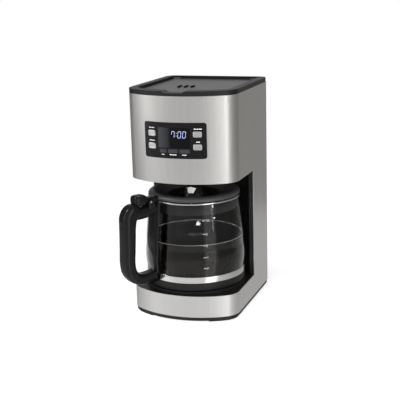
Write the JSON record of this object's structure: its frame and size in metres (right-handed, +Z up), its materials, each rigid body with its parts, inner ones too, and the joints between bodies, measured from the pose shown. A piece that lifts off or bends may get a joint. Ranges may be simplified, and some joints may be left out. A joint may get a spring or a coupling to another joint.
{
  "type": "drip coffee maker",
  "caption": "Countertop drip coffee maker with a bowed steel front, digital panel, hinged top lid and a glass carafe with a looped handle on a warming plate.",
  "frame": {"origin": "on the table, at the middle of the casing's width and of its depth from the front of the brew housing to the back", "axes": "+Z up, front with the control panel faces -Y, +X to the right of someone facing +Y"},
  "size_m": [0.1664, 0.2322, 0.34],
  "materials": {
    "steel": "vertical brushed grain",
    "black_gloss": "gloss",
    "black_satin": "fine satin",
    "lid_grey": "satin gloss",
    "glass": "clear polished",
    "band_steel": "polished",
    "rubber": "matte",
    "silicone": "matte translucent",
    "tank_plastic": "smoky clear",
    "plate_coating": "non-stick coating",
    "heater_metal": "cast",
    "zinc": "plated",
    "circuit": "solder mask",
    "ceramic_white": "glazed",
    "display": "dark lens",
    "button_silver": "satin silver",
    "shield_silver": "bright"
  },
  "bodies": {
    "housing": {"rubber_feet": "rubber", "bottom_cover": "black_satin", "cover_screws": "zinc", "lower_wrap": "steel", "base_shell": "black_satin", "tower_shell": "black_satin", "rear_cover": "black_satin", "cord_gland": "black_satin", "upper_wrap": "steel", "brew_housing": "black_satin", "top_rim": "black_satin", "lid_hinge_pins": "zinc", "water_tank": "tank_plastic", "riser_pipe": "tank_plastic", "check_valve": "tank_plastic", "cold_hose": "silicone", "hot_hose": "silicone", "filter_holder": "black_satin", "heating_element": "heater_metal", "warming_plate": "plate_coating", "plate_gasket": "silicone", "heater_clamp": "zinc", "clamp_nut": "zinc", "thermostat": "ceramic_white", "thermal_fuse": "ceramic_white", "power_board": "circuit", "control_panel": "black_gloss", "display_lens": "display", "display_module": "display", "control_board": "circuit"},
    "top_lid": {"tank_lid": "lid_grey", "water_channel": "black_satin", "shower_head": "black_satin"},
    "basket": {"filter_basket": "black_satin", "drip_stop_spring": "zinc"},
    "drip_stop": {"drip_stop_valve": "black_satin", "drip_stop_seal": "silicone"},
    "carafe": {"carafe_glass": "glass", "carafe_foot_ring": "black_gloss", "carafe_band": "band_steel", "neck_ring": "band_steel", "carafe_handle": "black_gloss", "handle_screw": "zinc", "carafe_lid_pin": "zinc"},
    "carafe_cap": {"carafe_lid": "black_gloss", "lid_hub": "black_gloss", "hub_shield": "shield_silver"},
    "hour_button": {"hour_button": "button_silver"},
    "minute_button": {"minute_button": "button_silver"},
    "program_button": {"program_button": "button_silver"},
    "power_button": {"power_button": "button_silver"},
    "clean_key": {"clean_key": "black_gloss"},
    "strength_key": {"strength_key": "black_gloss"},
    "volume_key": {"volume_key": "black_gloss"}
  },
  "joints": [
    {"name": "top_lid_hinge", "type": "hinge", "parent": "housing", "child": "top_lid", "pos_m": [0, 0.089, 0.3345], "axis": [-1, 0, 0], "range_deg": [0, 100]},
    {"name": "basket_lift", "type": "slide", "parent": "housing", "child": "basket", "axis": [0, 0, 1], "range_m": [0, 0.1225]},
    {"name": "drip_stop_travel", "type": "slide", "parent": "basket", "child": "drip_stop", "axis": [0, 0, 1], "range_m": [0, 0.004], "stiffness_N_per_m": 120, "deforming": ["drip_stop_spring"]},
    {"name": "carafe_slide", "type": "slide", "parent": "housing", "child": "carafe", "axis": [0, -1, 0], "range_m": [0, 0.26]},
    {"name": "carafe_lid_hinge", "type": "hinge", "parent": "carafe", "child": "carafe_cap", "pos_m": [-0.04866, -0.08927, 0.1775], "axis": [0.8151, -0.5793, 0], "range_deg": [0, 3]},
    {"name": "hour_button_press", "type": "slide", "parent": "housing", "child": "hour_button", "axis": [0, 1, 0], "range_m": [0, 0.0008], "stiffness_N_per_m": 400},
    {"name": "minute_button_press", "type": "slide", "parent": "housing", "child": "minute_button", "axis": [0, 1, 0], "range_m": [0, 0.0008], "stiffness_N_per_m": 400},
    {"name": "program_button_press", "type": "slide", "parent": "housing", "child": "program_button", "axis": [0, 1, 0], "range_m": [0, 0.0008], "stiffness_N_per_m": 400},
    {"name": "power_button_press", "type": "slide", "parent": "housing", "child": "power_button", "axis": [0, 1, 0], "range_m": [0, 0.0008], "stiffness_N_per_m": 400},
    {"name": "clean_key_press", "type": "slide", "parent": "housing", "child": "clean_key", "axis": [0, 1, 0], "range_m": [0, 0.0008], "stiffness_N_per_m": 400},
    {"name": "strength_key_press", "type": "slide", "parent": "housing", "child": "strength_key", "axis": [0, 1, 0], "range_m": [0, 0.0008], "stiffness_N_per_m": 400},
    {"name": "volume_key_press", "type": "slide", "parent": "housing", "child": "volume_key", "axis": [0, 1, 0], "range_m": [0, 0.0008], "stiffness_N_per_m": 400}
  ],
  "couplings": [
    {"joint": "basket_lift", "follows": "top_lid_hinge", "m_per_rad": 0.07}
  ]
}
